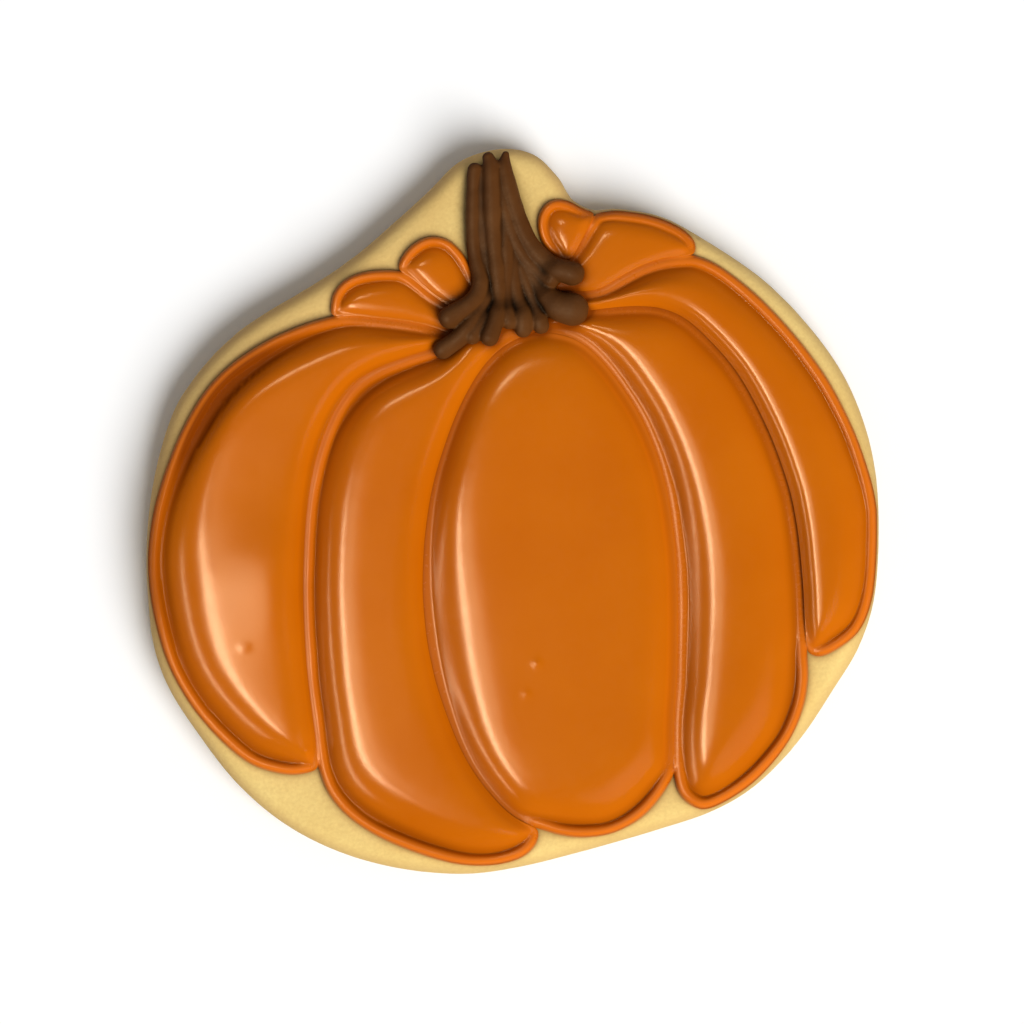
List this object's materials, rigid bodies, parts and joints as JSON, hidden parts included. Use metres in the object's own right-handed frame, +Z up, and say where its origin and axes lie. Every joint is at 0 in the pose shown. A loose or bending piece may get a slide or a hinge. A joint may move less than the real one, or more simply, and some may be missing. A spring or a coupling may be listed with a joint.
{
  "type": "iced cookie",
  "caption": "Cut-out biscuit in the shape of a squat pumpkin, flooded with orange icing in rounded ribs and lobes, with a piped brown stem.",
  "frame": {"origin": "on the underside, below the middle of the cookie's width and length", "axes": "+Z up out of the iced face, +Y towards the stem, +X to the right when the stem points away"},
  "size_m": [0.09, 0.0891, 0.0114],
  "materials": {
    "biscuit": null,
    "orange_icing": null,
    "brown_icing": null
  },
  "bodies": {
    "root": {"biscuit": "biscuit", "rib_far_left": "orange_icing", "rib_left": "orange_icing", "rib_centre": "orange_icing", "rib_right": "orange_icing", "rib_far_right": "orange_icing", "lobe_back_left": "orange_icing", "lobe_small_left": "orange_icing", "lobe_small_right": "orange_icing", "lobe_back_right": "orange_icing", "stem": "brown_icing"}
  },
  "joints": []
}
